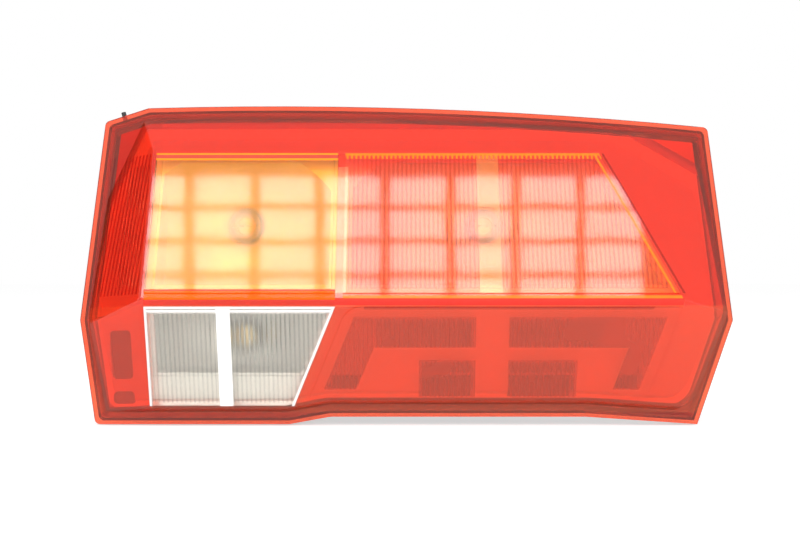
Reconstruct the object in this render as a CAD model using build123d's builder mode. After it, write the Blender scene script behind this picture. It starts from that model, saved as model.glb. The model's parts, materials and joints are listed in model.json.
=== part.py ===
from build123d import *
import os
from math import cos, radians, sin

# Tail light cluster of a van or estate car, in millimetres.
# X runs along the lamp, Y from the lens into the vehicle and Z up.
# The origin is the middle of the four mounting studs, on the plane of the body panel.
# The lens, its seal and the bezel are drawn in the rim plane, which leans back from the vertical:
# u along the lamp, v up the rim and w out of the rim towards the viewer.

# Rim plane: lean in degrees and distance in front of the body panel
rim_rake = 7.3
rim_stand = 44.0
touch = 0.01

# Rim outline
rim_half_width = 225.0
rim_waist = -41.0
rim_top = 109.0
rim_bottom = -112.0
rim_end_taper = 13.0
rim_left_drop = 10.0
rim_left_chamfer = 30.0
rim_right_drop = 14.0
rim_crown = 6.5
rim_toe_in = 27.0
rim_toe_radius = 18.0
rim_corner_radius = 4.0
arch_height = 5.0
arch_start = -80.0
arch_run = 28.0
arch_end_gap = 103.0
arch_radius = 20.0

# Lens wall and flange
lens_wall = 3.0
lens_draft = 9.0
flange_width = 8.0
flange_thickness = 3.0
crease_radius = 4.0
panel_step = 1.2
panel_margin = 3.0

# Lens facets: where the creases lie above the rim, and turns in degrees
ridge_v = -31.0
ridge_w = 45.5
top_band = 33.0
top_crease_w = 16.0
top_bevel_run = 24.0
lower_band = 13.0
lower_edge_w = 16.6
left_bevel = 50.0
left_upper_turn = 32.0
left_lower_turn = 20.0
right_bevel_top = 91.0
right_bevel_foot = 41.0
right_turn = 13.0

# Windows of the lens
divider_u = -44.5
divider_width = 5.0
ridge_gap = 4.5
foot_gap = 4.2
reverse_slant = 0.44
fog_gap = 8.0
fog_right_gap = 45.0
fog_right_slant = 0.34
fog_corner_radius = 15.0

# Prism flutes on the inside of the lens
flute_pitch = 3.0
flute_depth = 0.3
flute_flank = 0.65
flute_root = 0.6
flute_border = 3.0
stop_strip_u = 55.5
stop_strip_width = 15.0
reverse_strip_u = -120.5
reverse_strip_width = 9.0
side_flutes = 7

# Frame seen in the fog window: border, fluted strips and plain bars
fog_border = 6.5
fog_sill = 1.5
fog_top_strip = 19.0
fog_bar = 8.5
fog_left_column = 22.0
fog_pane_left = 8.0
fog_pane_middle = 56.5
fog_pane_gap = 67.0
fog_post = 22.0
fog_edge_post = 34.0

# Tongue of the lens, groove of the housing and seal, inside the edge that the lens stands over the housing
flange_overhang = 2.5
groove_wall = 1.8
tongue_width = 2.6
tongue_depth = 5.0
groove_clearance = 0.7
groove_depth = 7.0
seal_clearance = 0.1

# Bezel and reflectors
bezel_gap = 5.0
bezel_wall = 2.0
bezel_play = 1.0
bezel_lap = 1.0
reflector_wall = 1.8
reflector_clearance = 0.3
chamber_margin = 3.0
chamber_gap = 7.0
chamber_play = 1.5
vertex_stand = 16.0
vertex_hole_radius = 13.0
dish_depth = 75.0
neck_radius = 18.0
neck_wall = 2.5
turn_focal = 30.0
stop_focal = 60.0
reverse_focal = 26.0
fog_focal = 24.0
side_window_width = 15.5
side_window_height = 32.0
side_window_low_height = 8.5
side_window_drop = 34.0
side_window_pitch = 28.5
side_window_set_in = 33.0
side_window_radius = 3.0

# Housing
housing_wall = 2.5
housing_flange = 9.0
back_gap = 8.0
back_half_width = 178.0
back_top = 74.0
back_bottom = -80.0
back_corner = 14.0
back_edge_radius = 3.0
tub_draft = 1.5
rib_thickness = 2.0
rib_count = 7
rib_pitch = 48.0
rib_set_in = 9.0
rib_foot = 4.0
rib_root = 1.0
peg_radius = 1.6
peg_length = 5.0
peg_place = 0.6
vent_x = 132.0
vent_z = -10.0
vent_bore = 2.5
vent_radius = 4.5
vent_height = 4.0
vent_cap_wall = 2.0
vent_cap_top = 2.0
vent_cap_lift = 1.0

# Studs
stud_spacing_x = 320.0
stud_spacing_z = 116.0
stud_radius = 3.0
stud_shoulder = 4.0
stud_reach = 22.0
stud_head_radius = 7.0
stud_head = 3.0
stud_boss_radius = 10.5
stud_boss = 8.0
stud_clearance = 0.15
stud_chamfer = 0.8
stud_seal_radius = 13.0

# Bulb carrier
socket_left_x = -115.0
socket_right_x = 55.0
socket_upper_z = 25.0
socket_lower_z = -52.0
socket_radius = 11.0
socket_length = 20.0
socket_hole_radius = 17.0
carrier_plate = 3.0
carrier_margin = 6.5
carrier_corner = 8.0
carrier_seal_height = 2.0
carrier_seal_width = 3.0
carrier_seal_edge = 1.2
carrier_rib = 2.0
carrier_rib_height = 3.0
ear_reach = 5.0
ear_radius = 7.0
ear_spread = 44.0
ear_middle_z = -14.0
screw_radius = 2.0
screw_head_radius = 4.2
screw_head = 2.6
screw_length = 12.0
screw_clearance = 0.1
screw_boss_radius = 4.6
screw_boss = 6.0
screw_slot_width = 1.2
screw_slot_depth = 1.2

# Conductors and plug socket
track_width = 3.6
track_thickness = 0.8
track_clearance = 0.1
pin_count = 6
pin_pitch = 5.0
pin_middle_x = -30.0
pin_z = -14.0
blade_width = 2.8
blade_length = 10.0
twin_spread = 6.4
ground_strip_offset = 7.8
ground_blade_width = 3.0
ground_blade_thickness = 0.6
ground_blade_length = 14.0
rivet_radius = 2.3
rivet_clearance = 0.1
shroud_wall = 1.8
shroud_margin = 5.0
shroud_height = 15.0
shroud_length = 15.0
shroud_corner = 2.0

# Bulbs
bulb_stand = 1.5
bulb_clearance = 0.15
cap_radius = 7.5
cap_length = 16.0
cap_wall = 0.6
cap_floor = 2.0
bayonet_radius = 1.0
bayonet_reach = 1.6
bayonet_height = 9.0
globe_radius = 12.8
globe_centre = 17.0
globe_wall = 0.9
globe_sunk = 5.0
globe_neck = 2.0
globe_shoulder = 45.0
filament_width = 6.0
filament_radius = 0.5
filament_lead_radius = 0.35

os.makedirs("parts", exist_ok=True)


def finish(part, name):
    """Label one piece and write its STEP file."""
    part.label = name
    export_step(part, f"parts/{name}.step")


# The rim plane and the upright planes, which look forwards
rim = Plane(
    origin=(0, -rim_stand, 0),
    x_dir=(1, 0, 0),
    z_dir=(0, -cos(radians(rim_rake)), sin(radians(rim_rake))),
)
panel_face = Plane.XZ
back_face = panel_face.offset(back_gap)
floor_face = back_face.offset(housing_wall)
carrier_front = back_face.offset(-carrier_seal_height)
carrier_rear = carrier_front.offset(-carrier_plate)
track_face = carrier_rear.offset(track_thickness)
bulb_face = carrier_front.offset(bulb_stand)


def in_rim(vector):
    """A direction given in rim coordinates, turned into the lamp's frame."""
    return rim.from_local_coords(vector) - rim.origin


def facet(point, normal):
    """A plane of the lens, from a point and an outward normal in rim coordinates."""
    return Plane(origin=rim.from_local_coords(point), z_dir=in_rim(normal))


# Where the creases of the lens lie and which way its facets look
top_crease_v = rim_top - top_band
lower_edge_v = rim_bottom + lower_band
left_crease_u = -rim_half_width + left_bevel
right_crease_top = rim_half_width - right_bevel_top
right_crease_foot = rim_half_width - right_bevel_foot
ridge = Vector(0, ridge_v, ridge_w)
top_crease = Vector(0, top_crease_v, top_crease_w)
lower_edge = Vector(0, lower_edge_v, lower_edge_w)
left_end = Vector(left_crease_u, ridge_v, ridge_w)
right_end = Vector(right_crease_foot, ridge_v, ridge_w)
along = Vector(1, 0, 0)
upper_rise = (top_crease - ridge).normalized()
lower_rise = (ridge - lower_edge).normalized()
upper_out = along.cross(upper_rise)
lower_out = along.cross(lower_rise)
top_out = along.cross(Vector(0, top_bevel_run, flange_thickness - top_crease_w)).normalized()
right_crease = (right_end - Vector(right_crease_top, top_crease_v, top_crease_w)).normalized()
right_across = upper_out.cross(right_crease)
left_upper_out = upper_out * cos(radians(left_upper_turn)) - along * sin(radians(left_upper_turn))
left_upper_across = along * cos(radians(left_upper_turn)) + upper_out * sin(radians(left_upper_turn))
left_lower_out = lower_out * cos(radians(left_lower_turn)) - along * sin(radians(left_lower_turn))
right_out = upper_out * cos(radians(right_turn)) + right_across * sin(radians(right_turn))
groove_inset = flange_overhang + groove_wall
groove_width = tongue_width + 2 * groove_clearance
tongue_inset = groove_inset + groove_clearance
ridge_z = rim.from_local_coords(ridge).Z
tall = ridge_w + flange_width
deep = rim_stand + tall + rim_half_width * sin(radians(rim_rake))

facets = [
    facet(ridge, upper_out),
    facet(ridge, lower_out),
    facet(top_crease, top_out),
    facet(left_end, left_upper_out),
    facet(left_end, left_lower_out),
    facet(right_end, right_out),
]


def rim_face(inset, corner_radius):
    """The rim outline, drawn in by the inset all round, with its outer corners rounded or sharp."""
    top_half = rim_half_width - rim_end_taper
    arch_crown = rim_bottom + arch_height + inset
    arch_end = rim_half_width - arch_end_gap
    with BuildSketch() as sketch:
        with BuildLine():
            Polyline(
                (-top_half + rim_left_chamfer, rim_top),
                (-top_half, rim_top - rim_left_drop),
                (-rim_half_width, rim_waist),
                (-top_half, rim_bottom),
                (arch_start, rim_bottom),
                (arch_start + arch_run, rim_bottom + arch_height),
                (arch_end, rim_bottom + arch_height),
                (rim_half_width - rim_toe_in, rim_bottom),
                (rim_half_width, rim_waist),
                (top_half, rim_top - rim_right_drop),
            )
            ThreePointArc(
                (top_half, rim_top - rim_right_drop),
                (rim_left_chamfer / 2, rim_top - rim_right_drop / 2 + rim_crown),
                (-top_half + rim_left_chamfer, rim_top),
            )
        make_face()
        if inset:
            offset(amount=-inset, kind=Kind.INTERSECTION, mode=Mode.REPLACE)
        ends = sketch.vertices().sort_by(Axis.X)
        low = sketch.vertices().filter_by(lambda corner: corner.Y < rim_waist - flange_width)
        if corner_radius:
            fillet(ends[:3] + ends[-2:], corner_radius)
        fillet(low.sort_by(Axis.X)[-1], rim_toe_radius)
        fillet(sketch.vertices().filter_by(lambda corner: abs(corner.Y - arch_crown) < touch), arch_radius)
    return sketch.sketch


def lens_form(inset):
    """The solid under the lens surface, drawn in by the inset, or proud where it is negative."""
    shifted = [plane.offset(-inset) for plane in facets]
    with BuildPart() as form:
        with BuildSketch(rim):
            add(rim_face(flange_width + inset, 0))
        extrude(amount=tall, taper=lens_draft)
        for plane in shifted:
            split(bisect_by=plane, keep=Keep.BOTTOM)
        creases = []
        for edge in form.edges():
            heights = [abs(plane.to_local_coords(edge.center()).Z) for plane in shifted]
            if sorted(heights)[1] < touch:
                creases.append(edge)
        if 0 <= inset < crease_radius:
            fillet(creases, crease_radius - inset)
    return form.part


def outline(points):
    """A closed outline with straight sides through the points."""
    with BuildSketch() as sketch:
        with BuildLine():
            Polyline(*points, close=True)
        make_face()
    return sketch.sketch


def column(plane, face, length, grow=0):
    """A straight column over a face drawn on the plane, grown or drawn in all round."""
    with BuildPart() as solid:
        with BuildSketch(plane):
            add(face)
            if grow:
                offset(amount=grow, kind=Kind.INTERSECTION, mode=Mode.REPLACE)
        extrude(amount=length)
    return solid.part


# Windows of the lens in rim coordinates
window_left = left_crease_u + panel_margin
window_top = top_crease_v - panel_margin
upper_foot = ridge_v + ridge_gap
lower_head = ridge_v - ridge_gap
lower_foot = rim_bottom + flange_width + foot_gap
fog_foot = lower_foot + arch_height
turn_right = divider_u - divider_width / 2
stop_left = divider_u + divider_width / 2
right_lean = (right_crease_top - right_crease_foot) / (top_crease_v - ridge_v)
reverse_run = reverse_slant * (lower_head - lower_foot)
fog_left = turn_right + fog_gap
fog_run = reverse_slant * (lower_head - fog_foot)
fog_right = rim_half_width - fog_right_gap
fog_foot_right = fog_right - fog_right_slant * (lower_head - fog_foot)


def stop_right(v, margin):
    """Right edge of the stop window at a height, beside the slanting crease."""
    return right_crease_foot + right_lean * (v - ridge_v) - margin


turn_window = outline(
    [
        (window_left, upper_foot),
        (turn_right, upper_foot),
        (turn_right, window_top),
        (window_left, window_top),
    ]
)
turn_field = outline(
    [
        (window_left, ridge_v),
        (turn_right, ridge_v),
        (turn_right, window_top),
        (window_left, window_top),
    ]
)
stop_window = outline(
    [
        (stop_left, upper_foot),
        (stop_right(upper_foot, panel_margin), upper_foot),
        (stop_right(window_top, panel_margin), window_top),
        (stop_left, window_top),
    ]
)
reverse_window = outline(
    [
        (window_left, lower_head),
        (turn_right, lower_head),
        (turn_right - reverse_run, lower_foot),
        (window_left, lower_foot),
    ]
)
fog_corners = outline(
    [
        (fog_left, lower_head),
        (fog_right, lower_head),
        (fog_foot_right, fog_foot),
        (fog_left - fog_run, fog_foot),
    ]
)
with BuildSketch() as fog_sketch:
    add(fog_corners)
    head = fog_sketch.vertices().sort_by(Axis.Y)[-2:].sort_by(Axis.X)[0]
    fillet(head, fog_corner_radius)
fog_window = fog_sketch.sketch

# Fluted fields of the fog window: the window inside its border, less the plain frame
fog_pane_right = fog_right - fog_pane_gap
fog_band_head = lower_head - fog_border - fog_top_strip
fog_band_foot = fog_band_head - fog_bar
fog_frame_left = fog_left + fog_border + fog_left_column
fog_frame_right = fog_pane_right + fog_edge_post
fog_frame = outline(
    [
        (fog_frame_left - reverse_slant * (lower_head - fog_band_head), fog_band_head),
        (fog_frame_right, fog_band_head),
        (fog_frame_right - fog_right_slant * (fog_band_head - fog_foot), fog_foot),
        (fog_frame_left - fog_run, fog_foot),
    ]
)
fog_panes = [
    (fog_pane_left, fog_pane_middle - fog_post / 2),
    (fog_pane_middle + fog_post / 2, fog_pane_right),
]
pane_foot = fog_foot + fog_sill
with BuildSketch() as fog_field_sketch:
    add(fog_window)
    offset(amount=-fog_border, kind=Kind.INTERSECTION, mode=Mode.REPLACE)
    add(fog_frame, mode=Mode.SUBTRACT)
    for pane_left, pane_right in fog_panes:
        with Locations(((pane_left + pane_right) / 2, (fog_band_foot + pane_foot) / 2)):
            Rectangle(pane_right - pane_left, fog_band_foot - pane_foot)
    with Locations((fog_pane_middle, (lower_head + fog_band_head) / 2)):
        Rectangle(fog_post, lower_head - fog_band_head, mode=Mode.SUBTRACT)
fog_field = fog_field_sketch.sketch


def flutes(base, across, rise, first, last, length):
    """A row of prism flutes on the inside of a facet, running up the rise from the base."""
    face = Plane(origin=rim.from_local_coords(base), x_dir=in_rim(across), z_dir=in_rim(rise))
    count = int((last - first) / flute_pitch)
    end = first + count * flute_pitch
    with BuildPart() as comb:
        with BuildSketch(face):
            with BuildLine():
                for index in range(count):
                    start = first + index * flute_pitch
                    Polyline(
                        (start, 0),
                        (start + flute_flank, flute_depth),
                        (start + flute_pitch - flute_flank, flute_depth),
                        (start + flute_pitch, 0),
                    )
                Polyline((end, 0), (end, -flute_root), (first, -flute_root), (first, 0))
            make_face()
        extrude(amount=length)
    return comb.part


upper_base = ridge - upper_out * lens_wall
lower_base = lower_edge - lower_out * lens_wall
left_base = left_end - left_upper_out * lens_wall
upper_length = (top_crease - ridge).length
lower_length = (ridge - lower_edge).length
side_first = -panel_margin - side_flutes * flute_pitch
side_foot = upper_foot + ridge_gap
side_head = window_top - flange_width
stop_strip_left = stop_strip_u - stop_strip_width / 2
stop_strip_right = stop_strip_u + stop_strip_width / 2
reverse_strip_left = reverse_strip_u - reverse_strip_width / 2
reverse_strip_right = reverse_strip_u + reverse_strip_width / 2
side_field = outline(
    [
        (-rim_half_width, side_foot),
        (left_crease_u, side_foot),
        (left_crease_u, side_head),
        (-rim_half_width, side_head),
    ]
)

with BuildPart() as stop_flutes:
    add(flutes(upper_base, along, upper_rise, stop_left + flute_border, stop_strip_left, upper_length))
    add(flutes(upper_base, along, upper_rise, stop_strip_right, right_crease_foot, upper_length))
    add(column(rim, stop_window, tall, -flute_border), mode=Mode.INTERSECT)

with BuildPart() as reverse_flutes:
    add(flutes(lower_base, along, lower_rise, window_left + flute_border, reverse_strip_left, lower_length))
    add(flutes(lower_base, along, lower_rise, reverse_strip_right, turn_right, lower_length))
    add(column(rim, reverse_window, tall, -flute_border), mode=Mode.INTERSECT)

with BuildPart() as fog_flutes:
    add(flutes(lower_base, along, lower_rise, fog_left - fog_run, fog_right, lower_length))
    add(column(rim, fog_field, tall), mode=Mode.INTERSECT)

with BuildPart() as left_flutes:
    add(flutes(left_base, left_upper_across, upper_rise, side_first, -panel_margin, upper_length))
    add(column(rim, side_field, tall), mode=Mode.INTERSECT)

# Lens: faceted shell with flange and tongue, its windows a step proud, moulded in three colours
with BuildPart() as proud:
    add(lens_form(-panel_step))
    with BuildSketch(rim):
        add(turn_window)
        add(stop_window)
        add(reverse_window)
        add(fog_window)
    extrude(amount=tall, mode=Mode.INTERSECT)

with BuildPart() as shell:
    add(lens_form(0))
    add(proud.part)
    with BuildSketch(rim):
        add(rim_face(0, rim_corner_radius))
    extrude(amount=flange_thickness)
    with BuildSketch(rim):
        add(rim_face(tongue_inset, rim_corner_radius))
        add(rim_face(tongue_inset + tongue_width, rim_corner_radius), mode=Mode.SUBTRACT)
    extrude(amount=-tongue_depth)
    add(lens_form(lens_wall), mode=Mode.SUBTRACT)

with BuildPart() as lens_red:
    add(shell.part)
    add(column(rim, turn_field, tall), mode=Mode.SUBTRACT)
    add(column(rim, reverse_window, tall), mode=Mode.SUBTRACT)
    add(stop_flutes.part)
    add(fog_flutes.part)
    add(left_flutes.part)
finish(lens_red.part, "lens_red")

with BuildPart() as lens_amber:
    add(shell.part)
    add(column(rim, turn_field, tall), mode=Mode.INTERSECT)
finish(lens_amber.part, "lens_amber")

with BuildPart() as lens_clear:
    add(shell.part)
    add(column(rim, reverse_window, tall), mode=Mode.INTERSECT)
    add(reverse_flutes.part)
finish(lens_clear.part, "lens_clear")

with BuildPart() as lens_seal:
    with BuildSketch(rim.offset(-groove_depth)):
        add(rim_face(groove_inset + seal_clearance, rim_corner_radius))
        add(rim_face(groove_inset + groove_width - seal_clearance, rim_corner_radius), mode=Mode.SUBTRACT)
    extrude(amount=groove_depth - tongue_depth)
finish(lens_seal.part, "lens_seal")

# Chambers behind the windows, seen from the front
bezel_inset = lens_wall + bezel_gap
upper_floor = ridge_z + chamber_gap
upper_roof = back_top - housing_wall - chamber_play
lower_roof = ridge_z - chamber_gap
lower_floor = back_bottom + housing_wall + chamber_play
chamber_reach = back_half_width - housing_wall - chamber_play
chamber_left = max(window_left + chamber_margin, -chamber_reach)
stop_margin = panel_margin + chamber_margin
lower_run = reverse_slant * (lower_roof - lower_floor)
fog_chamber_right = min(fog_right, chamber_reach)
turn_chamber = outline(
    [
        (chamber_left, upper_floor),
        (turn_right - chamber_margin, upper_floor),
        (turn_right - chamber_margin, upper_roof),
        (chamber_left, upper_roof),
    ]
)
stop_chamber = outline(
    [
        (stop_left + chamber_margin, upper_floor),
        (min(stop_right(upper_floor, stop_margin), chamber_reach), upper_floor),
        (stop_right(upper_roof, stop_margin), upper_roof),
        (stop_left + chamber_margin, upper_roof),
    ]
)
reverse_chamber = outline(
    [
        (chamber_left, lower_roof),
        (turn_right - chamber_margin, lower_roof),
        (turn_right - chamber_margin - lower_run, lower_floor),
        (chamber_left, lower_floor),
    ]
)
fog_chamber = outline(
    [
        (fog_left + chamber_margin, lower_roof),
        (fog_chamber_right, lower_roof),
        (fog_chamber_right - fog_right_slant * (lower_roof - lower_floor), lower_floor),
        (fog_left + chamber_margin - lower_run, lower_floor),
    ]
)

with BuildPart() as inner_bezel:
    add(lens_form(lens_wall + bezel_play))
    split(bisect_by=rim.offset(bezel_wall), keep=Keep.BOTTOM)
    add(lens_form(bezel_inset))
    add(lens_form(bezel_inset + bezel_wall), mode=Mode.SUBTRACT)
    for chamber in (turn_chamber, stop_chamber, reverse_chamber):
        add(column(panel_face, chamber, deep, reflector_clearance), mode=Mode.SUBTRACT)
    add(column(rim, fog_field, tall, -bezel_lap), mode=Mode.SUBTRACT)
    with BuildSketch(rim):
        with Locations((-rim_half_width + side_window_set_in, ridge_v - side_window_drop)):
            RectangleRounded(side_window_width, side_window_height, side_window_radius)
        with Locations(
            (-rim_half_width + side_window_set_in, ridge_v - side_window_drop - side_window_pitch)
        ):
            RectangleRounded(side_window_width, side_window_low_height, side_window_radius)
    extrude(amount=tall, mode=Mode.SUBTRACT)
finish(inner_bezel.part, "inner_bezel")


def dish(x, z, focal, back):
    """The space in front of a parabolic dish with its vertex at the stated depth."""
    radius = (4 * focal * dish_depth) ** 0.5
    profile = Plane(origin=(x, -back, z), x_dir=(1, 0, 0), z_dir=(0, 0, 1))
    with BuildPart() as space:
        with BuildSketch(profile):
            with BuildLine():
                Bezier((0, 0), (radius / 2, 0), (radius, -dish_depth))
                Polyline((radius, -dish_depth), (radius, -deep), (0, -deep), (0, 0))
            make_face()
        revolve(axis=Axis((x, -back, z), (0, 1, 0)))
    return space.part


def chamber_block(chamber, inset):
    """The column of a chamber from the body panel up to the lens facets, drawn in by the inset."""
    with BuildPart() as block:
        add(column(panel_face, chamber, deep))
        for plane in facets:
            split(bisect_by=plane.offset(-inset), keep=Keep.BOTTOM)
    return block.part


def reflector(name, chamber, x, z, focal, inset):
    """A metallised cup: parabolic dish in its chamber, front plate, and neck on the housing floor."""
    with BuildPart() as behind:
        add(chamber_block(chamber, inset + bezel_wall))
        add(dish(x, z, focal, vertex_stand - reflector_wall), mode=Mode.SUBTRACT)
    with BuildPart() as hollow:
        add(column(panel_face, chamber, deep, -reflector_wall))
        add(dish(x, z, focal, vertex_stand), mode=Mode.INTERSECT)
    with BuildPart() as cup:
        add(chamber_block(chamber, inset))
        add(behind.part, mode=Mode.SUBTRACT)
        with BuildSketch(floor_face):
            with Locations((x, z)):
                Circle(neck_radius + neck_wall)
                Circle(neck_radius, mode=Mode.SUBTRACT)
        extrude(amount=vertex_stand)
        add(hollow.part, mode=Mode.SUBTRACT)
        with BuildSketch(panel_face):
            with Locations((x, z)):
                Circle(vertex_hole_radius)
        extrude(amount=deep, mode=Mode.SUBTRACT)
    finish(cup.part, name)


fog_inset = bezel_inset + bezel_wall + reflector_clearance
reflector("turn_reflector", turn_chamber, socket_left_x, socket_upper_z, turn_focal, bezel_inset)
reflector("stop_reflector", stop_chamber, socket_right_x, socket_upper_z, stop_focal, bezel_inset)
reflector("reverse_reflector", reverse_chamber, socket_left_x, socket_lower_z, reverse_focal, bezel_inset)
reflector("fog_reflector", fog_chamber, socket_right_x, socket_lower_z, fog_focal, fog_inset)

# Places on the back: sockets, carrier plate and its screws
sockets = [
    (socket_left_x, socket_upper_z),
    (socket_right_x, socket_upper_z),
    (socket_left_x, socket_lower_z),
    (socket_right_x, socket_lower_z),
]
carrier_edge = socket_hole_radius + carrier_margin
carrier_left = socket_left_x - carrier_edge
carrier_right = socket_right_x + carrier_edge
carrier_top = socket_upper_z + carrier_edge
carrier_foot = socket_lower_z - carrier_edge
carrier_width = carrier_right - carrier_left
carrier_height = carrier_top - carrier_foot
carrier_middle = ((carrier_left + carrier_right) / 2, (carrier_top + carrier_foot) / 2)
ears = [
    (carrier_left - ear_reach, ear_middle_z + ear_spread / 2),
    (carrier_left - ear_reach, ear_middle_z - ear_spread / 2),
    (carrier_right + ear_reach, ear_middle_z + ear_spread / 2),
    (carrier_right + ear_reach, ear_middle_z - ear_spread / 2),
]

# Housing: tub with a flange round the rim, groove for the lens, ribs, bosses, vent and locating peg
back_height = back_top - back_bottom
back_middle = (0, (back_top + back_bottom) / 2)
rib_base_w = -housing_flange + rib_root
rib_tip_top = rim.from_local_coords((0, rim_top - rim_right_drop - rib_set_in, rib_base_w))
rib_tip_foot = rim.from_local_coords((0, rim_bottom + arch_height + rib_set_in, rib_base_w))
rib_wall_top = rim.from_local_coords((0, back_top - rib_root, rib_base_w))
rib_wall_foot = rim.from_local_coords((0, back_bottom + rib_root, rib_base_w))
peg_u = -rim_half_width + rim_end_taper + rim_left_chamfer * (1 - peg_place)
peg_v = rim_top - rim_left_drop * peg_place
peg_way = in_rim(Vector(-rim_left_drop, rim_left_chamfer, 0).normalized())
peg_reach = flange_overhang + groove_wall / 2
peg_foot = rim.from_local_coords((peg_u, peg_v, -housing_flange / 2)) - peg_way * peg_reach
rib_ends = (
    (rib_wall_top, rib_tip_top, back_top - rib_root),
    (rib_wall_foot, rib_tip_foot, back_bottom + rib_root),
)

with BuildPart() as housing:
    with BuildSketch(back_face):
        with Locations(back_middle):
            RectangleRounded(2 * back_half_width, back_height, back_corner)
    extrude(amount=deep, taper=-tub_draft)
    fillet(housing.edges().group_by(Axis.Y)[-1], back_edge_radius)
    split(bisect_by=rim, keep=Keep.BOTTOM)
    with BuildSketch(rim):
        add(rim_face(flange_overhang, rim_corner_radius))
    extrude(amount=-housing_flange)
    for index in range(rib_count):
        with BuildSketch(Plane.YZ.offset((index - (rib_count - 1) / 2) * rib_pitch)):
            for wall, tip, z in rib_ends:
                with BuildLine():
                    Polyline(
                        (wall.Y, wall.Z),
                        (tip.Y, tip.Z),
                        (-back_gap - rib_foot, z),
                        close=True,
                    )
                make_face()
        extrude(amount=rib_thickness / 2, both=True)
    with BuildSketch(floor_face):
        with Locations(back_middle):
            RectangleRounded(
                2 * (back_half_width - housing_wall),
                back_height - 2 * housing_wall,
                back_corner - housing_wall,
            )
    extrude(amount=deep, taper=-tub_draft, mode=Mode.SUBTRACT)
    with BuildSketch(rim):
        add(rim_face(groove_inset, rim_corner_radius))
        add(rim_face(groove_inset + groove_width, rim_corner_radius), mode=Mode.SUBTRACT)
    extrude(amount=-groove_depth, mode=Mode.SUBTRACT)
    with BuildSketch(back_face):
        with GridLocations(stud_spacing_x, stud_spacing_z, 2, 2):
            Circle(stud_boss_radius)
    extrude(amount=stud_boss)
    with BuildSketch(back_face):
        with Locations(*ears):
            Circle(screw_boss_radius)
    extrude(amount=housing_wall + screw_boss)
    with BuildSketch(back_face):
        with GridLocations(stud_spacing_x, stud_spacing_z, 2, 2):
            Circle(stud_shoulder + stud_clearance)
    extrude(amount=stud_boss, mode=Mode.SUBTRACT)
    with BuildSketch(back_face):
        with Locations(*ears):
            Circle(screw_radius)
    extrude(amount=screw_length - carrier_plate - carrier_seal_height, mode=Mode.SUBTRACT)
    with BuildSketch(back_face):
        with Locations(*sockets):
            Circle(socket_hole_radius)
    extrude(amount=housing_wall, mode=Mode.SUBTRACT)
    with BuildSketch(back_face):
        with Locations((vent_x, vent_z)):
            Circle(vent_radius)
    extrude(amount=-vent_height)
    with BuildSketch(back_face.offset(-vent_height)):
        with Locations((vent_x, vent_z)):
            Circle(vent_bore)
    extrude(amount=vent_height + housing_wall, mode=Mode.SUBTRACT)
    with BuildSketch(Plane(origin=peg_foot, z_dir=peg_way)):
        Circle(peg_radius)
    extrude(amount=peg_reach + peg_length)
finish(housing.part, "housing")

with BuildPart() as vent_cap:
    with BuildSketch(back_face.offset(-vent_cap_lift)):
        with Locations((vent_x, vent_z)):
            Circle(vent_radius + vent_cap_wall)
    extrude(amount=vent_cap_lift - vent_height - vent_cap_top)
    with BuildSketch(back_face.offset(-vent_cap_lift)):
        with Locations((vent_x, vent_z)):
            Circle(vent_radius)
    extrude(amount=vent_cap_lift - vent_height, mode=Mode.SUBTRACT)
finish(vent_cap.part, "vent_cap")

# Four studs with hexagon heads on the bosses and shoulders up to the panel, and the foam seals round them
stud_face = back_face.offset(stud_boss)
with BuildPart() as mounting_studs:
    with BuildSketch(panel_face):
        with GridLocations(stud_spacing_x, stud_spacing_z, 2, 2):
            Circle(stud_radius)
    extrude(amount=-stud_reach)
    tips = mounting_studs.edges().group_by(Axis.Y)[-1]
    chamfer(tips, stud_chamfer)
    with BuildSketch(panel_face):
        with GridLocations(stud_spacing_x, stud_spacing_z, 2, 2):
            Circle(stud_shoulder)
    extrude(amount=back_gap + stud_boss)
    with BuildSketch(stud_face):
        with GridLocations(stud_spacing_x, stud_spacing_z, 2, 2):
            RegularPolygon(stud_head_radius, 6)
    extrude(amount=stud_head)
finish(mounting_studs.part, "mounting_studs")

with BuildPart() as stud_seals:
    with BuildSketch(panel_face):
        with GridLocations(stud_spacing_x, stud_spacing_z, 2, 2):
            Circle(stud_seal_radius)
            Circle(stud_shoulder + stud_clearance, mode=Mode.SUBTRACT)
    extrude(amount=back_gap)
finish(stud_seals.part, "stud_seals")

# Conductors: stamped strips let into the rear of the carrier, each with its plug blade
pins = [pin_middle_x + (index - (pin_count - 1) / 2) * pin_pitch for index in range(pin_count)]
turn_pin, reverse_pin, ground_pin, tail_pin, stop_pin, fog_pin = pins
tail_z = socket_upper_z + twin_spread / 2
stop_z = socket_upper_z - twin_spread / 2
ground_upper_z = socket_upper_z + ground_strip_offset
ground_lower_z = socket_lower_z - ground_strip_offset
feeds = {
    "turn_track": (turn_pin, socket_upper_z, socket_left_x),
    "reverse_track": (reverse_pin, socket_lower_z, socket_left_x),
    "tail_track": (tail_pin, tail_z, socket_right_x),
    "stop_track": (stop_pin, stop_z, socket_right_x),
    "fog_track": (fog_pin, socket_lower_z, socket_right_x),
}
ground_strips = [
    ((socket_left_x, ground_upper_z), (socket_right_x, ground_upper_z)),
    ((ground_pin, ground_upper_z), (ground_pin, ground_lower_z)),
    ((socket_left_x, ground_lower_z), (socket_right_x, ground_lower_z)),
]
contacts = [(x, z) for pin, z, x in feeds.values()]
blade_middle = cap_radius + ground_blade_thickness / 2
ground_blades = [
    (socket_left_x, socket_upper_z + blade_middle),
    (socket_right_x, socket_upper_z + blade_middle),
    (socket_left_x, socket_lower_z - blade_middle),
    (socket_right_x, socket_lower_z - blade_middle),
]


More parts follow.
